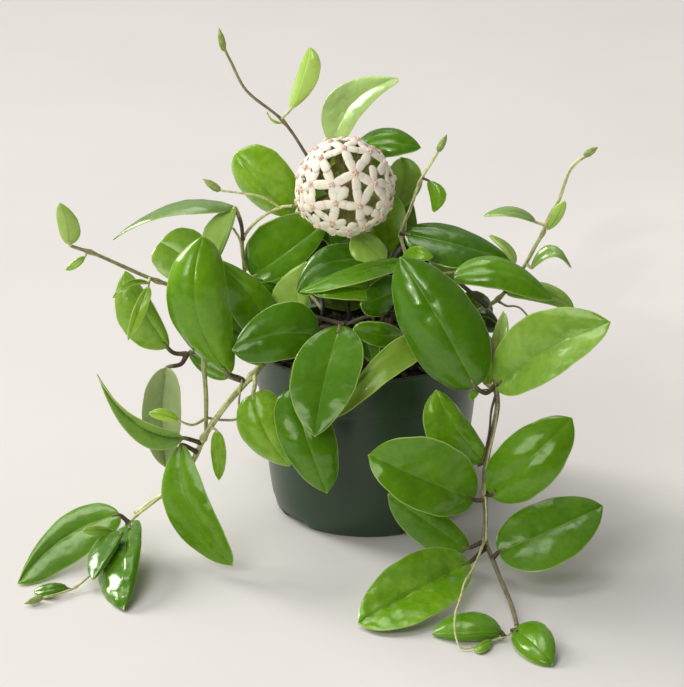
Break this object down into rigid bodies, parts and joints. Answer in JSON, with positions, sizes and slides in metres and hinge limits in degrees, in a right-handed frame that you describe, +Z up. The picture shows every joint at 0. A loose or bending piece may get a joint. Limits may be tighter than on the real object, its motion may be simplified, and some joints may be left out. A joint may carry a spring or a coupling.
{
  "type": "potted hoya plant",
  "caption": "Potted hoya with waxy oval leaves on twining and trailing stems, a ball-shaped flower head, and a round nursery pot of bark mix.",
  "frame": {"origin": "centre of the pot's underside, on the surface that it stands on", "axes": "+Z up along the pot's axis, -Y towards the plant's front, +X to the right seen from the front"},
  "size_m": [0.3783, 0.3773, 0.3283],
  "materials": {
    "pot": "dark green moulded nursery plastic with a soft satin sheen",
    "potting_mix": "dark, moist, chunky bark mix",
    "leaf_bright": "waxy bright green leaves with a pale thin margin, on olive brown stems",
    "leaf_mid": "waxy mid green leaves with a pale thin margin, on olive brown stems",
    "leaf_dark": "waxy deep green leaves with a pale thin margin, on olive brown stems",
    "flower": "thick creamy white petals with a faint pink centre, on pale brown stalks"
  },
  "bodies": {
    "root": {"pot": "pot", "potting_mix": "potting_mix", "trailing_stem_left": "leaf_bright", "trailing_stem_right": "leaf_bright", "stem_front": "leaf_bright", "stem_middle": "leaf_mid", "flower_stem": "leaf_mid", "stem_left": "leaf_mid", "stem_top_left": "leaf_mid", "stem_top": "leaf_dark", "stem_centre_right": "leaf_mid", "stem_right_top": "leaf_bright", "stem_back": "leaf_dark", "stem_back_left": "leaf_dark", "stem_back_right": "leaf_dark", "umbel": "flower"}
  },
  "joints": []
}
